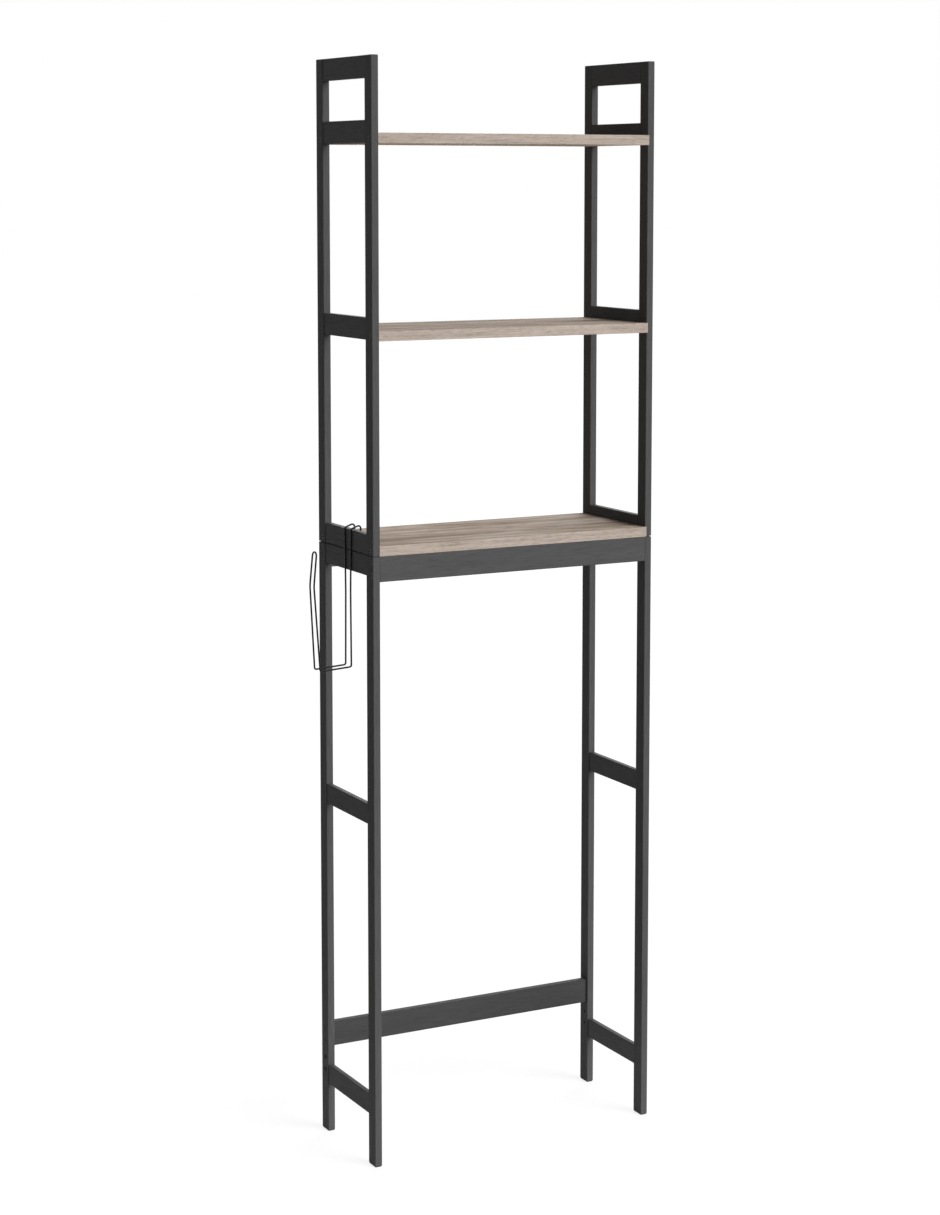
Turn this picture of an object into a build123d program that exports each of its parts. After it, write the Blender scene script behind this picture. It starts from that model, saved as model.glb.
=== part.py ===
"""Open bathroom rack that stands over a toilet, in millimetres, +Z up and its front towards -Y.

Two ladder frames a side, the upper one standing on the lower one, carry three boards, two aprons under
the lowest board and a rear crossbar that can be screwed on at either of two heights. A bent wire roll
holder hooks over a rail of the left frame. The origin is on the floor, at the middle of all that the rack
covers.
"""

import os

from build123d import *

# Whole rack: outer faces of the side frames
frame_width = 500.0
frame_depth = 200.0
rack_height = 1730.0
seam_height = 968.5  # where the upper frames stand on the lower ones
seam_gap = 1.4  # shadow gap round the seam
seam_gap_depth = 2.5

# Stiles, the uprights of the side frames
stile_width = 12.0
stile_depth = 24.0
stile_edge = 1.0
stile_top_edge = 1.0
stile_foot_edge = 0.4

# Rails, the rungs of the side frames
rail_setback = 1.0  # from the outer face of the stiles
upper_rail_thickness = 11.0
lower_rail_thickness = 9.0
upper_rail_height = 34.0
seam_rail_height = 31.5
lower_rail_height = 32.0
rail_edge = 1.2
middle_rail_bottom = 545.5
low_rail_bottom = 80.0
tenon_length = 6.0
tenon_thickness = 5.0
tenon_shoulder = 4.0
tenon_clearance = 0.1

# Boards that serve as shelves
shelf_thickness = 16.0
shelf_overhang = 2.0  # in front of the stiles
shelf_lap = 1.5  # of the front edge over each stile
shelf_lap_gap = 0.1
shelf_rear_setback = 2.0
shelf_edge = 0.8
top_shelf_drop = 132.5  # from the top of the rack to the underside of the top shelf
shelf_pitch = 299.0  # from the top shelf down to the middle one
shelf_rail_rise = 1.5  # from a shelf's underside to the underside of the rails beside it

# Bars between the side frames
bar_edge = 1.0
bar_screw_pitch = 20.0
apron_height = 40.0
apron_thickness = 16.0
rear_apron_setback = 4.0
crossbar_height = 40.0
crossbar_thickness = 12.0
crossbar_setback = 4.0  # behind the front faces of the rear stiles
crossbar_bottom = 141.0
crossbar_step = 48.0  # down to its other place

# Countersunk socket screws
shank_radius = 2.2
head_radius = 4.2
head_lip = 0.4
head_sink = 0.3
socket_radius = 1.7
socket_depth = 1.6
screw_bite = 33.0  # into the end of a board or bar
screw_clearance = 0.1
connector_bite = 20.0  # from a lower frame up into the rail above it
connector_inset = 31.0  # from the stiles

# Pads under the lower stiles
foot_height = 1.5
foot_inset = 0.5
foot_corner = 1.5
foot_edge = 0.4

# Wire roll holder
wire_radius = 1.4
wire_gap = 0.4  # to the outer faces of the rails
hook_seat_gap = 0.3  # to the rail it hangs on, at the outer top edge
hook_inner_gap = 2.5
hook_slope = 6.1  # rise of the hook towards its inner side
hook_bend = 4.0
lip_clearance = 3.5  # above the lowest shelf
hook_spacing = 22.6  # between the two legs of the wire
waist_drop = 98.0  # below the top of the rail, where the legs come nearest to each other
waist_spacing = 17.8
waist_bend = 300.0
drop_length = 215.5  # from the top of the rail to the bottom of the holder
prong_reach = 53.5  # from the drop to the foot of the prong
prong_fall = 3.2
foot_bend = 3.2
foot_spacing = 21.0
kink_lean = 8.4
kink_height = 133.8  # above the foot of the prong
kink_spacing = 15.2
kink_bend = 60.0
tip_return = 5.0
tip_height = 186.8  # above the foot of the prong
tip_spacing = 14.4
tip_bend = 6.5
holder_shift = -11.5  # from the middle of the rail, towards the front

# Places that follow from the sizes above
holder_overhang = wire_gap - rail_setback + 2 * wire_radius + prong_reach + kink_lean
rack_x = holder_overhang / 2  # middle of the side frames
rack_y = shelf_overhang / 2
outward = {"left": -1, "right": 1}
forward = {"front": -1, "rear": 1}
bay_width = frame_width - 2 * stile_width
rail_length = frame_depth - 2 * stile_depth
stile_middle = (frame_depth - stile_depth) / 2
connector_offset = rail_length / 2 - connector_inset
top_shelf_bottom = rack_height - top_shelf_drop
middle_shelf_bottom = top_shelf_bottom - shelf_pitch
bottom_shelf_bottom = seam_height
base_rail_bottom = seam_height + seam_gap / 2
head_rail_bottom = seam_height - seam_gap / 2 - seam_rail_height
shelf_bottoms = {
    "top_shelf": top_shelf_bottom,
    "middle_shelf": middle_shelf_bottom,
    "bottom_shelf": bottom_shelf_bottom,
}
apron_middle = seam_height - apron_height / 2
front_apron_y = -(frame_depth - apron_thickness) / 2
rear_apron_y = (frame_depth - apron_thickness) / 2 - rear_apron_setback
crossbar_y = frame_depth / 2 - stile_depth + crossbar_setback + crossbar_thickness / 2
crossbar_middle = crossbar_bottom + crossbar_height / 2

# Each rail as its name, underside, height and thickness
upper_rails = (
    ("top_rail", rack_height - upper_rail_height, upper_rail_height, upper_rail_thickness),
    ("top_shelf_rail", top_shelf_bottom + shelf_rail_rise, upper_rail_height, upper_rail_thickness),
    ("middle_shelf_rail", middle_shelf_bottom + shelf_rail_rise, upper_rail_height, upper_rail_thickness),
    ("base_rail", base_rail_bottom, seam_rail_height, upper_rail_thickness),
)
lower_rails = (
    ("head_rail", head_rail_bottom, seam_rail_height, upper_rail_thickness),
    ("middle_rail", middle_rail_bottom, lower_rail_height, lower_rail_thickness),
    ("low_rail", low_rail_bottom, lower_rail_height, lower_rail_thickness),
)

os.makedirs("parts", exist_ok=True)


def save(part, name):
    """Writes one finished piece as parts/NAME.step."""
    part.label = name
    export_step(part, f"parts/{name}.step")


def outer_face(side):
    """X of the outer faces of a side's stiles."""
    return rack_x + outward[side] * frame_width / 2


def bay_face(side):
    """X of the inner faces of a side's stiles, where the shelves and bars end."""
    return rack_x + outward[side] * bay_width / 2


def rail_middle(side, thickness):
    """X of the middle of a side's rail."""
    return outer_face(side) - outward[side] * (rail_setback + thickness / 2)


def facing_out(side, x, y, z):
    """A place whose own +Z points out of the rack, as the head of a side screw does."""
    return Location((x, rack_y + y, z), (0, 90 * outward[side], 0))


def pair_heights(middle):
    """Heights of the two screws in each end of a bar."""
    return (middle + bar_screw_pitch / 2, middle - bar_screw_pitch / 2)


def screw_heights(level, end):
    """Side screws through a stile, as pairs of Y and Z from the middle of the rack."""
    y = forward[end] * stile_middle
    if level == "upper":
        return [(y, bottom + shelf_thickness / 2) for bottom in shelf_bottoms.values()]
    if end == "front":
        return [(front_apron_y, z) for z in pair_heights(apron_middle)]
    crossbar_places = (crossbar_middle, crossbar_middle - crossbar_step)
    return [(rear_apron_y, z) for z in pair_heights(apron_middle)] + [
        (crossbar_y, z) for middle in crossbar_places for z in pair_heights(middle)
    ]


# Screws: one for the sides, one longer for joining the upper frames to the lower ones
def make_screw(length):
    """A countersunk socket screw, its head's top at the origin and its shank along -Z."""
    cone_end = -head_lip - (head_radius - shank_radius)
    with BuildPart() as screw:
        with BuildSketch(Plane.XZ):
            with BuildLine():
                Polyline(
                    (0, 0),
                    (head_radius, 0),
                    (head_radius, -head_lip),
                    (shank_radius, cone_end),
                    (shank_radius, shank_radius - length),
                    (0, -length),
                    close=True,
                )
            make_face()
        revolve(axis=Axis.Z)
        with BuildSketch(Plane.XY):
            RegularPolygon(socket_radius, 6)
        extrude(amount=-socket_depth, mode=Mode.SUBTRACT)
    return screw.part


def screw_group(screw, places, name):
    """One node of like screws, each at its own place."""
    with BuildPart() as group:
        with Locations(*places):
            add(screw)
    save(group.part, name)


def cut_screw_seats(places, through):
    """Countersunk holes in the part being built, for screws whose heads lie just under its face."""
    hole_radius = shank_radius + screw_clearance
    seat_radius = head_radius + screw_clearance
    with BuildPart(mode=Mode.PRIVATE) as seat:
        with BuildSketch(Plane.XZ):
            with BuildLine():
                Polyline(
                    (0, head_sink),
                    (seat_radius, head_sink),
                    (seat_radius, -head_lip),
                    (hole_radius, -head_lip - (head_radius - shank_radius)),
                    (hole_radius, -through),
                    (0, -through),
                    close=True,
                )
            make_face()
        revolve(axis=Axis.Z)
    with Locations(*places):
        add(seat.part, mode=Mode.SUBTRACT)


side_screw = make_screw(stile_width - head_sink + screw_bite)
connector_screw = make_screw(seam_rail_height - head_sink + seam_gap + connector_bite)


def side_screw_places(spots):
    """Places of side screws in both frames, for spots given as Y and Z."""
    return [
        facing_out(side, outer_face(side) - outward[side] * head_sink, y, z)
        for side in outward
        for y, z in spots
    ]


def cut_end_bores(spots):
    """Bores in both ends of the board or bar being built, one for each side screw."""
    bores = [facing_out(side, bay_face(side), y, z) for side in outward for y, z in spots]
    with Locations(*bores):
        Hole(shank_radius + screw_clearance, screw_bite + screw_clearance)


def connector_places(side, z):
    """Places on a side's seam rails, facing down, where the frames are screwed together."""
    x = rail_middle(side, upper_rail_thickness)
    return [Location((x, rack_y + sign * connector_offset, z), (180, 0, 0)) for sign in (-1, 1)]


# Side frames
def make_stile(side, level, end):
    """An upright with a mortise for each rail and a seat for each screw."""
    bottom = foot_height if level == "lower" else seam_height
    top = seam_height if level == "lower" else rack_height
    rails = lower_rails if level == "lower" else upper_rails
    middle_x = outer_face(side) - outward[side] * stile_width / 2
    middle_y = rack_y + forward[end] * stile_middle
    rail_face = rack_y + forward[end] * rail_length / 2
    with BuildPart() as stile:
        with BuildSketch(Plane.XY.offset(bottom)):
            with Locations((middle_x, middle_y)):
                Rectangle(stile_width, stile_depth)
        extrude(amount=top - bottom)
        fillet(stile.edges().filter_by(Axis.Z), stile_edge)
        if level == "upper":
            chamfer(stile.faces().sort_by(Axis.Z)[-1].edges(), stile_top_edge)
        else:
            chamfer(stile.faces().sort_by(Axis.Z)[0].edges(), stile_foot_edge)
        with BuildSketch(Plane.XY.offset(seam_height)):
            with Locations((middle_x, middle_y)):
                Rectangle(stile_width, stile_depth)
                Rectangle(
                    stile_width - 2 * seam_gap_depth,
                    stile_depth - 2 * seam_gap_depth,
                    mode=Mode.SUBTRACT,
                )
        extrude(amount=seam_gap / 2, both=True, mode=Mode.SUBTRACT)
        for _, rail_bottom, height, thickness in rails:
            with BuildSketch(Plane.XZ.offset(-rail_face)):
                with Locations((rail_middle(side, thickness), rail_bottom + height / 2)):
                    Rectangle(
                        tenon_thickness + 2 * tenon_clearance,
                        height - 2 * tenon_shoulder + 2 * tenon_clearance,
                    )
            extrude(amount=-forward[end] * (tenon_length + tenon_clearance), mode=Mode.SUBTRACT)
        seats = [
            facing_out(side, outer_face(side) - outward[side] * head_sink, y, z)
            for y, z in screw_heights(level, end)
        ]
        cut_screw_seats(seats, stile_width)
    save(stile.part, f"{side}_{level}_{end}_stile")


def make_rail(side, name, bottom, height, thickness):
    """A rung with rounded long edges and a stub tenon at each end."""
    middle = (rail_middle(side, thickness), bottom + height / 2)
    with BuildPart() as rail:
        with BuildSketch(Plane.XZ.offset(-rack_y)):
            with Locations(middle):
                Rectangle(thickness, height)
        extrude(amount=rail_length / 2, both=True)
        fillet(rail.edges().filter_by(Axis.Y), rail_edge)
        with BuildSketch(Plane.XZ.offset(-rack_y)):
            with Locations(middle):
                Rectangle(tenon_thickness, height - 2 * tenon_shoulder)
        extrude(amount=rail_length / 2 + tenon_length, both=True)
        if name == "head_rail":
            cut_screw_seats(connector_places(side, bottom + head_sink), height)
        if name == "base_rail":
            with Locations(*connector_places(side, bottom)):
                Hole(shank_radius + screw_clearance, connector_bite + screw_clearance)
    save(rail.part, f"{side}_{name}")


def make_foot(side, end):
    """A thin plastic pad, a little inside the edges of its stile."""
    middle_x = outer_face(side) - outward[side] * stile_width / 2
    middle_y = rack_y + forward[end] * stile_middle
    with BuildPart() as foot:
        with BuildSketch(Plane.XY):
            with Locations((middle_x, middle_y)):
                RectangleRounded(
                    stile_width - 2 * foot_inset, stile_depth - 2 * foot_inset, foot_corner
                )
        extrude(amount=foot_height)
        chamfer(foot.faces().sort_by(Axis.Z)[0].edges(), foot_edge)
    save(foot.part, f"{side}_{end}_foot")


for side in outward:
    for end in forward:
        make_stile(side, "upper", end)
        make_stile(side, "lower", end)
        make_foot(side, end)
    for rail_sizes in upper_rails + lower_rails:
        make_rail(side, *rail_sizes)


# Shelves
def make_shelf(name, bottom):
    """A board between the side frames, its front edge proud of the stiles and a little over them."""
    depth = frame_depth + shelf_overhang - shelf_rear_setback
    rear_y = rack_y + frame_depth / 2 - shelf_rear_setback
    notch_depth = depth - shelf_overhang + shelf_lap_gap
    notch_x = bay_width / 2 + shelf_lap / 2
    screw_z = bottom + shelf_thickness / 2
    with BuildPart() as shelf:
        with BuildSketch(Plane.XY.offset(bottom)):
            with Locations((rack_x, rear_y - depth / 2)):
                Rectangle(bay_width + 2 * shelf_lap, depth)
        extrude(amount=shelf_thickness)
        fillet(shelf.edges().filter_by(Axis.X), shelf_edge)
        with BuildSketch(Plane.XY.offset(bottom)):
            with Locations(*[(rack_x + sign * notch_x, rear_y - notch_depth / 2) for sign in (-1, 1)]):
                Rectangle(shelf_lap, notch_depth)
        extrude(amount=shelf_thickness, mode=Mode.SUBTRACT)
        cut_end_bores([(forward[end] * stile_middle, screw_z) for end in forward])
    save(shelf.part, name)


for shelf_name, shelf_bottom in shelf_bottoms.items():
    make_shelf(shelf_name, shelf_bottom)


# Bars
def make_bar(name, y, middle, height, thickness):
    """An upright flat bar between the side frames, with two screws in each end."""
    with BuildPart() as bar:
        with BuildSketch(Plane.YZ.offset(rack_x)):
            with Locations((rack_y + y, middle)):
                Rectangle(thickness, height)
        extrude(amount=bay_width / 2, both=True)
        fillet(bar.edges().filter_by(Axis.X), bar_edge)
        cut_end_bores([(y, z) for z in pair_heights(middle)])
    save(bar.part, name)


make_bar("front_apron", front_apron_y, apron_middle, apron_height, apron_thickness)
make_bar("rear_apron", rear_apron_y, apron_middle, apron_height, apron_thickness)
make_bar("rear_crossbar", crossbar_y, crossbar_middle, crossbar_height, crossbar_thickness)

# Screws at their places
shelf_spots = [spot for end in forward for spot in screw_heights("upper", end)]
apron_spots = [(y, z) for y in (front_apron_y, rear_apron_y) for z in pair_heights(apron_middle)]
crossbar_spots = [(crossbar_y, z) for z in pair_heights(crossbar_middle)]
connector_bottom = head_rail_bottom + head_sink
screw_group(side_screw, side_screw_places(shelf_spots), "shelf_screws")
screw_group(side_screw, side_screw_places(apron_spots), "apron_screws")
screw_group(side_screw, side_screw_places(crossbar_spots), "crossbar_screws")
screw_group(
    connector_screw,
    [place for side in outward for place in connector_places(side, connector_bottom)],
    "frame_connector_screws",
)


# Roll holder
def holder_leg(sign):
    """Corners and bends of one leg of the wire, from its end behind the rail to the tip of the prong."""
    middle_y = rack_y + holder_shift
    rail_outer = outer_face("left") + rail_setback
    drop_x = rail_outer - wire_gap - wire_radius
    lip_x = rail_outer + upper_rail_thickness + hook_inner_gap + wire_radius
    foot_x = drop_x - prong_reach
    rail_top = base_rail_bottom + seam_rail_height
    hook_outer_z = rail_top + wire_radius + hook_seat_gap
    waist_z = rail_top - waist_drop
    drop_z = rail_top - drop_length
    foot_z = drop_z - prong_fall
    lip_z = bottom_shelf_bottom + shelf_thickness + lip_clearance
    corners = (
        (lip_x, hook_spacing, lip_z, None),
        (lip_x, hook_spacing, hook_outer_z + hook_slope, hook_bend),
        (drop_x, hook_spacing, hook_outer_z, hook_bend),
        (drop_x, waist_spacing, waist_z, waist_bend),
        (drop_x, foot_spacing, drop_z, foot_bend),
        (foot_x, foot_spacing, foot_z, foot_bend),
        (foot_x - kink_lean, kink_spacing, foot_z + kink_height, kink_bend),
        (foot_x - kink_lean + tip_return, tip_spacing, foot_z + tip_height, tip_bend),
    )
    points = [(x, middle_y + sign * spacing / 2, z) for x, spacing, z, _ in corners]
    return points, [bend for *_, bend in corners[1:]]


near_points, near_bends = holder_leg(-1)
far_points, far_bends = holder_leg(1)
with BuildPart() as roll_holder:
    with BuildLine() as wire_route:
        FilletPolyline(*near_points, *reversed(far_points), radius=near_bends + near_bends[::-1])
    route = wire_route.wires()[0]
    with BuildSketch(Plane(origin=route @ 0, z_dir=route % 0)):
        Circle(wire_radius)
    sweep(path=route)
save(roll_holder.part, "roll_holder")
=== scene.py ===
import math

import bpy
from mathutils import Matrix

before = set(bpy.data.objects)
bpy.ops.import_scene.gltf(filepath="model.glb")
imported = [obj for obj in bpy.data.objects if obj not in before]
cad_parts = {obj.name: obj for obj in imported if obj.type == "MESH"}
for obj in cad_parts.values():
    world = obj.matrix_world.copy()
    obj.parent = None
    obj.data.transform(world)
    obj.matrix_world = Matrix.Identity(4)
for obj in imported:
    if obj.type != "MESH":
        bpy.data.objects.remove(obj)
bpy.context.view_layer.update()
scene = bpy.context.scene
scene.view_settings.view_transform = "Standard"

SHELVES = ("top_shelf", "middle_shelf", "bottom_shelf")
APRONS = ("front_apron", "rear_apron")
X, Y, Z = range(3)  # the axes that a grain can run along

# Camera: front left of the rack and near its top, pitched down a little, its lens shifted down for the rest
CAMERA_PLACE = (-1.8955, -3.5995, 1.5434)
CAMERA_YAW = 27.797  # degrees from +Y towards +X
CAMERA_PITCH = 6.025  # degrees down
CAMERA_LENS = 75.860  # mm, on a sensor of the width below
CAMERA_SENSOR = 36.0
CAMERA_SHIFT = -0.13

# Light: large soft lamps far away, over an even world, and the white floor's light under the shelves
WORLD_LEVEL = 0.13
LAMPS = (
    # name, strength, soft angle, degrees from -Y towards +X, degrees above the floor, what casts no shadow
    ("front_lamp", 3.6, 50, 28, 25, SHELVES + APRONS),
    ("rear_lamp", 2.8, 60, 150, 12, ()),
)
UNDER_STRENGTH = 1.2

# Floor and background: what the floor bounces onto the rack, and what is seen of it
FLOOR_SIZE = 40.0
FLOOR_BOUNCE = (0.95, 0.28)  # near the rack and far from it
FLOOR_BOUNCE_REACH = 1.1  # metres from the middle of the rack
FLOOR_TONE = 0.25
FLOOR_GLOW = 0.83
BACKGROUND_LEVEL = 1.0

# Noises: their scale per metre along X, Y and Z, or along a grain and across it, then detail, roughness and
# distortion. Ramps: stops of a place in the noise, from 0 to 1, and the colour or factor there.

# Charcoal stain of the frames, and the painted light and shade in copies of it: the rails' drawn paler and
# the crossbar's darker than the stiles'
PAINT_BROAD = ((5, 60), 3, 0.5)
PAINT_PORES = ((30, 900), 4, 0.65, 0.3)
PAINT_TONES = ((0.3, (0.076, 0.076, 0.077)), (0.7, (0.086, 0.086, 0.087)))
PAINT_PORE_TINTS = ((0.34, 0.80), (0.5, 1.0), (0.72, 1.10))
PAINT_ROUGHNESS = ((0.3, 0.72), (0.7, 0.58))
PAINT_SPECULAR = 0.05
PAINT_RELIEF = (0.3, 0.0002)  # strength, and depth in metres
# Painted light: the rails' paint is drawn this much paler than the stiles'
RAIL_PAINTED_LIGHT = 1.15
# Painted shade: the crossbar's paint is drawn this much darker than the stiles', for the shade low at the
# rear
CROSSBAR_PAINTED_SHADE = 0.68

# Oak look of the boards, and how much darker the middle board's faces are
OAK_START = (12.3, 2.5, 0.0)  # where in the noise the streaks and patches start
OAK_STREAKS = ((4.5, 48, 48), 7, 0.62, 0.6, OAK_START)
OAK_PATCHES = ((2.6, 20, 20), 4, 0.55, 0.8, OAK_START)
OAK_FIBRES = ((10, 520, 520), 5, 0.7, 0.25)
OAK_DASHES = ((85, 800, 800), 3, 0.6, 0.1)
OAK_GROWTH = ((1.3, 10, 10), 3, 0.5, 0.4)
OAK_GROWTH_LINES = 44.0  # rings, dark to pale or back, over the growth noise
OAK_FACE_TONES = (
    (0.34, (0.216, 0.153, 0.106)),
    (0.44, (0.299, 0.226, 0.170)),
    (0.52, (0.359, 0.285, 0.226)),
    (0.64, (0.442, 0.373, 0.315)),
)
OAK_RING_TINTS = ((0.0, 0.78), (0.25, 0.94), (0.6, 1.05), (1.0, 1.10))
OAK_PATCH_TINTS = ((0.36, (0.70, 0.65, 0.59)), (0.5, (0.98, 0.98, 0.98)), (0.64, (1.18, 1.20, 1.24)))
OAK_FACE_DASH_TINTS = ((0.30, 0.62), (0.42, 1.0))
OAK_EDGE_TONES = ((0.3, (0.395, 0.328, 0.276)), (0.7, (0.482, 0.408, 0.354)))
OAK_EDGE_DASH_TINTS = ((0.36, 0.80), (0.52, 1.04))
OAK_FIBRE_TINTS = ((0.34, 0.70), (0.48, 0.98), (0.66, 1.12))
OAK_ROUGHNESS = ((0.3, 0.80), (0.7, 0.66))
OAK_SPECULAR = 0.03
OAK_RELIEF = (0.3, 0.0003)
OAK_LEVEL = ((0.55, 0.0), (0.75, 1.0))  # from edge to face, by how level the surface is
MIDDLE_BOARD_TONE = 0.87

# Dark coats with an orange peel: colour, roughness, specular level, peel's scale per metre
SCREW_COAT = ((0.014, 0.014, 0.015), 0.45, 0.12, 2500)
FOOT_COAT = ((0.03, 0.03, 0.03), 0.55, 0.4, 1500)
HOLDER_COAT = ((0.004, 0.004, 0.004), 0.32, 0.15, 1800)
COAT_PEEL = (2, 0.5)  # the noise's detail and roughness
COAT_TINTS = ((0.35, 0.75), (0.65, 1.0))
COAT_ROUGHNESS_CHANGES = ((0.3, -0.06), (0.7, 0.06))
COAT_RELIEF = (0.15, 0.0001)

# The sockets of Blender's Mix node that hold its factor and its colours
MIX_FACTOR, MIX_FIRST, MIX_SECOND, MIX_RESULT = 0, 6, 7, 2


def node(owner, kind, inputs=(), **settings):
    """A new node of a material or world: its sockets are linked to other nodes, or set to plain values."""
    made = owner.node_tree.nodes.new(kind)
    for name, value in settings.items():
        setattr(made, name, value)
    for socket, value in dict(inputs).items():
        if isinstance(value, bpy.types.NodeSocket):
            owner.node_tree.links.new(value, made.inputs[socket])
        else:
            made.inputs[socket].default_value = value
    return made


def scaled(colour, factor):
    """A colour made darker or paler."""
    return tuple(factor * part for part in colour)


def ramp(material, value, stops):
    """A colour ramp of (position, grey or colour) stops."""
    made = node(material, "ShaderNodeValToRGB", {"Fac": value})
    elements = made.color_ramp.elements
    while len(elements) < len(stops):
        elements.new(0.5)
    for element, (position, colour) in zip(elements, stops):
        element.position = position
        element.color = (*colour, 1) if isinstance(colour, tuple) else (colour,) * 3 + (1,)
    return made.outputs["Color"]


def stretched_noise(material, scale, detail, roughness, distortion=0.0, start=(0, 0, 0)):
    """Noise in the rack's own frame, with its own scale per metre along each axis."""
    place = node(material, "ShaderNodeTexCoord").outputs["Object"]
    mapping = node(material, "ShaderNodeMapping", {"Vector": place, "Scale": scale, "Location": start})
    settings = {
        "Vector": mapping.outputs["Vector"],
        "Scale": 1.0,
        "Detail": detail,
        "Roughness": roughness,
        "Distortion": distortion,
    }
    return node(material, "ShaderNodeTexNoise", settings).outputs["Fac"]


def grain(material, axis, noise):
    """Noise that runs along one axis: its scale is given along that axis and across it."""
    (run, cross), *settings = noise
    return stretched_noise(material, tuple(run if i == axis else cross for i in (X, Y, Z)), *settings)


def mixed(material, blend, factor, first, second):
    """Two colours mixed."""
    inputs = {MIX_FACTOR: factor, MIX_FIRST: first, MIX_SECOND: second}
    return node(material, "ShaderNodeMix", inputs, data_type="RGBA", blend_type=blend).outputs[MIX_RESULT]


def tinted(material, colour, value, tints):
    """A colour multiplied by a ramp of tints."""
    return mixed(material, "MULTIPLY", 1.0, colour, ramp(material, value, tints))


def surface(material, colour, roughness, specular, height, relief):
    """Gives a new material's shader its colour, roughness, specular level and relief."""
    strength, depth = relief
    bump = node(material, "ShaderNodeBump", {"Height": height, "Strength": strength, "Distance": depth})
    shader = material.node_tree.nodes["Principled BSDF"]
    outputs = {"Base Color": colour, "Roughness": roughness, "Normal": bump.outputs["Normal"]}
    for name, output in outputs.items():
        material.node_tree.links.new(output, shader.inputs[name])
    shader.inputs["Specular IOR Level"].default_value = specular


def new_material(name):
    """A material with nodes."""
    material = bpy.data.materials.new(name)
    material.use_nodes = True
    return material


def painted_wood(name, axis, painted_lighting=1.0):
    """Charcoal stain on close-grained wood, its grain along one axis; a factor above 1 paints light into
    its tones, below 1 paints shade.
    """
    material = new_material(name)
    broad = grain(material, axis, PAINT_BROAD)
    pores = grain(material, axis, PAINT_PORES)
    # Painted light and shade: the stain's tones scaled paler or darker by the factor
    tones = [(at, scaled(tone, painted_lighting)) for at, tone in PAINT_TONES]
    colour = tinted(material, ramp(material, broad, tones), pores, PAINT_PORE_TINTS)
    surface(material, colour, ramp(material, pores, PAINT_ROUGHNESS), PAINT_SPECULAR, pores, PAINT_RELIEF)
    return material


def oak_board(name, tone=1.0):
    """Greige oak look along X: faces with wandering growth lines, and paler, finely dashed edges."""
    material = new_material(name)
    streaks = stretched_noise(material, *OAK_STREAKS)
    patches = stretched_noise(material, *OAK_PATCHES)
    fibres = stretched_noise(material, *OAK_FIBRES)
    dashes = stretched_noise(material, *OAK_DASHES)
    growth = stretched_noise(material, *OAK_GROWTH)
    years = node(material, "ShaderNodeMath", {0: growth, 1: OAK_GROWTH_LINES}, operation="MULTIPLY")
    year = node(material, "ShaderNodeMath", {0: years.outputs["Value"], 1: 1.0}, operation="PINGPONG")
    face = tinted(material, ramp(material, streaks, OAK_FACE_TONES), year.outputs["Value"], OAK_RING_TINTS)
    face = tinted(material, face, patches, [(at, scaled(tint, tone)) for at, tint in OAK_PATCH_TINTS])
    face = tinted(material, face, dashes, OAK_FACE_DASH_TINTS)
    edge = tinted(material, ramp(material, streaks, OAK_EDGE_TONES), dashes, OAK_EDGE_DASH_TINTS)
    normal = node(material, "ShaderNodeTexCoord").outputs["Normal"]
    split = node(material, "ShaderNodeSeparateXYZ", {"Vector": normal})
    level = node(material, "ShaderNodeMath", {0: split.outputs["Z"]}, operation="ABSOLUTE")
    is_face = ramp(material, level.outputs["Value"], OAK_LEVEL)
    wood = mixed(material, "MIX", is_face, edge, face)
    colour = tinted(material, wood, fibres, OAK_FIBRE_TINTS)
    surface(material, colour, ramp(material, fibres, OAK_ROUGHNESS), OAK_SPECULAR, fibres, OAK_RELIEF)
    return material


def coated(name, colour, roughness, specular, scale):
    """A dark coat with a fine orange peel."""
    material = new_material(name)
    peel = stretched_noise(material, (scale,) * 3, *COAT_PEEL)
    tones = ramp(material, peel, [(at, scaled(colour, tint)) for at, tint in COAT_TINTS])
    gloss = ramp(material, peel, [(at, roughness + change) for at, change in COAT_ROUGHNESS_CHANGES])
    surface(material, tones, gloss, specular, peel, COAT_RELIEF)
    return material


def dress(material, *names):
    """Gives one material to CAD nodes."""
    for name in names:
        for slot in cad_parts[name].material_slots:
            slot.material = material


def ending(suffix):
    """The names of the CAD nodes that end in a suffix."""
    return [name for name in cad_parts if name.endswith(suffix)]


dress(painted_wood("stile_paint", Z), *ending("_stile"))
# The rails' paint is drawn paler than the stiles' as painted light
dress(painted_wood("rail_painted_light", Y, RAIL_PAINTED_LIGHT), *ending("_rail"))
dress(painted_wood("bar_paint", X), *APRONS)
# The crossbar's paint is drawn darker as painted shade
dress(painted_wood("crossbar_painted_shade", X, CROSSBAR_PAINTED_SHADE), "rear_crossbar")
dress(oak_board("shelf_oak"), "top_shelf", "bottom_shelf")
dress(oak_board("middle_shelf_oak", MIDDLE_BOARD_TONE), "middle_shelf")
dress(coated("screw_black", *SCREW_COAT), *ending("_screws"))
dress(coated("foot_plastic", *FOOT_COAT), *ending("_foot"))
dress(coated("holder_coat", *HOLDER_COAT), "roll_holder")


# Floor, world, lamps and camera
def seen_directly(owner):
    """1 for camera, glossy and transmission rays."""
    rays = node(owner, "ShaderNodeLightPath")
    total = rays.outputs["Is Camera Ray"]
    for name in ("Is Glossy Ray", "Is Transmission Ray"):
        either = node(owner, "ShaderNodeMath", {0: total, 1: rays.outputs[name]}, operation="MAXIMUM")
        total = either.outputs["Value"]
    return total


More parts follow.
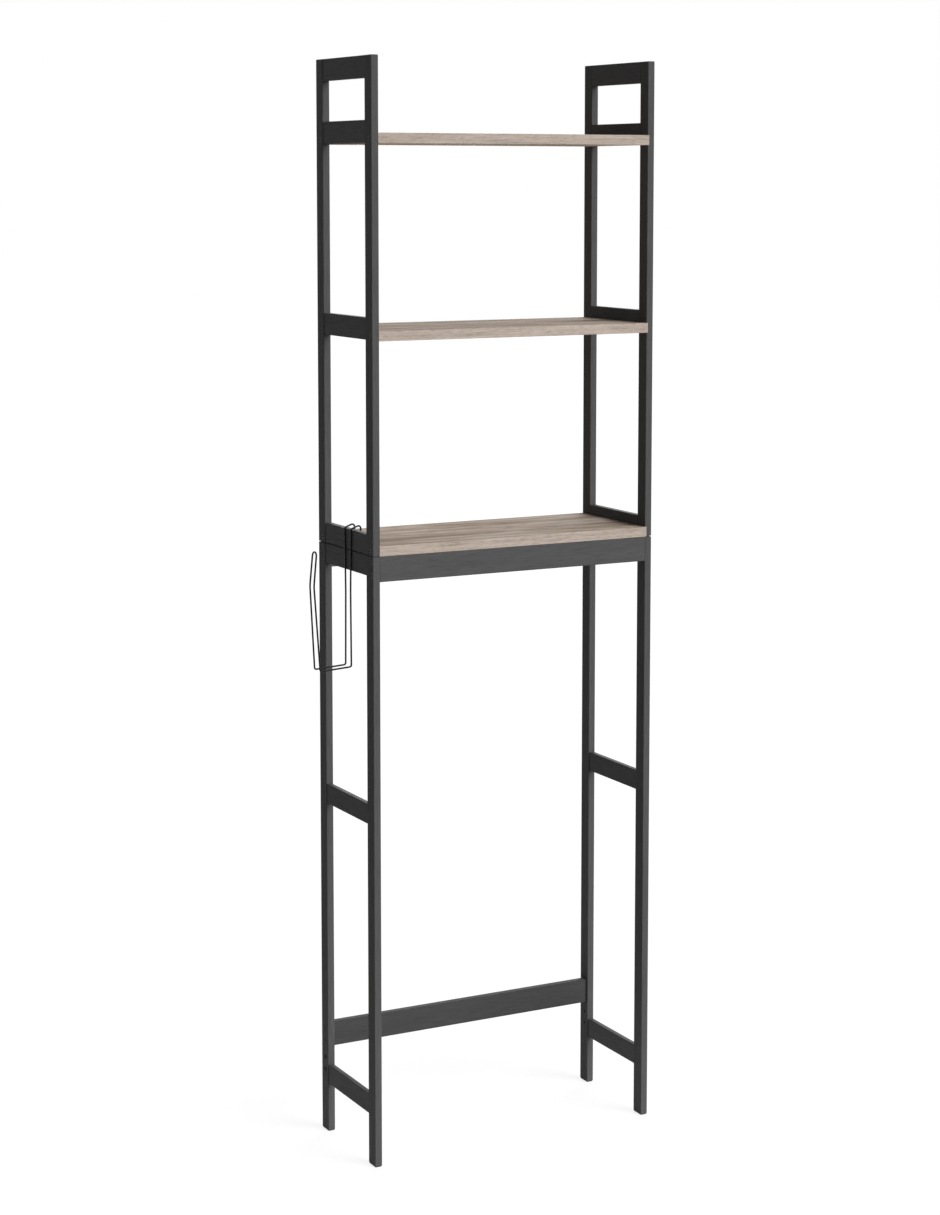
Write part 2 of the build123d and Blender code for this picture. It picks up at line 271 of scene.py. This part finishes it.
def make_floor():
    """A plain white floor that keeps the soft shadow of the rack."""
    bpy.ops.mesh.primitive_plane_add(size=FLOOR_SIZE)
    floor = bpy.context.object
    floor.name = "floor"
    material = new_material("floor_white")
    material.node_tree.nodes.clear()
    place = node(material, "ShaderNodeTexCoord").outputs["Object"]
    reach = node(material, "ShaderNodeVectorMath", {0: place}, operation="LENGTH").outputs["Value"]
    near, far = FLOOR_BOUNCE
    fading = {"Value": reach, "From Max": FLOOR_BOUNCE_REACH, "To Min": near, "To Max": far}
    fade = node(material, "ShaderNodeMapRange", fading, interpolation_type="SMOOTHSTEP")
    bounce = node(material, "ShaderNodeBsdfDiffuse", {"Color": fade.outputs["Result"]})
    shown = node(material, "ShaderNodeBsdfDiffuse", {"Color": (FLOOR_TONE,) * 3 + (1,)})
    glow = node(material, "ShaderNodeEmission", {"Strength": FLOOR_GLOW})
    lit = node(material, "ShaderNodeAddShader", {0: shown.outputs["BSDF"], 1: glow.outputs["Emission"]})
    shaders = {0: seen_directly(material), 1: bounce.outputs["BSDF"], 2: lit.outputs["Shader"]}
    mix = node(material, "ShaderNodeMixShader", shaders)
    node(material, "ShaderNodeOutputMaterial", {"Surface": mix.outputs["Shader"]})
    floor.data.materials.append(material)


def make_world():
    """White where it is seen, and a plain grey light elsewhere."""
    world = bpy.data.worlds.new("studio")
    scene.world = world
    world.use_nodes = True
    levels = {"Value": seen_directly(world), "To Min": WORLD_LEVEL, "To Max": BACKGROUND_LEVEL}
    level = node(world, "ShaderNodeMapRange", levels)
    background = world.node_tree.nodes["Background"]
    background.inputs["Color"].default_value = (1, 1, 1, 1)
    world.node_tree.links.new(level.outputs["Result"], background.inputs["Strength"])


def new_lamp(name, strength, turn, height):
    """A lamp far away that lights the whole rack evenly, and its object."""
    lamp = bpy.data.lights.new(name, "SUN")
    lamp.energy = strength
    holder = bpy.data.objects.new(name, lamp)
    holder.rotation_euler = (math.radians(90 - height), 0, math.radians(turn))
    scene.collection.objects.link(holder)
    return lamp, holder


def collected(name, pieces):
    """A collection of pieces for a lamp to refer to; it isn't part of the scene."""
    made = bpy.data.collections.new(name)
    for piece in pieces:
        made.objects.link(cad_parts[piece])
    return made


def make_lamp(name, strength, angle, turn, height, shadowless):
    """A soft lamp in which some pieces cast no shadow."""
    lamp, holder = new_lamp(name, strength, turn, height)
    lamp.angle = math.radians(angle)
    if shadowless:
        spared = collected(name + "_spared", shadowless)
        for link in spared.collection_objects:
            link.light_linking.link_state = "EXCLUDE"
        holder.light_linking.blocker_collection = spared


def make_under_lamp():
    """The white floor's light on the undersides of the shelves, straight from below."""
    lamp, holder = new_lamp("under_lamp", UNDER_STRENGTH, 0, -90)
    lamp.use_shadow = False
    holder.light_linking.receiver_collection = collected("under_lamp_lit", SHELVES)


def make_camera():
    """The camera, looking a little down at the rack from its front left."""
    data = bpy.data.cameras.new("camera")
    data.lens = CAMERA_LENS
    data.sensor_width = CAMERA_SENSOR
    data.shift_y = CAMERA_SHIFT
    camera = bpy.data.objects.new("camera", data)
    camera.location = CAMERA_PLACE
    camera.rotation_euler = (math.radians(90 - CAMERA_PITCH), 0, math.radians(-CAMERA_YAW))
    scene.collection.objects.link(camera)
    scene.camera = camera


make_floor()
make_world()
for lamp in LAMPS:
    make_lamp(*lamp)
make_under_lamp()
make_camera()
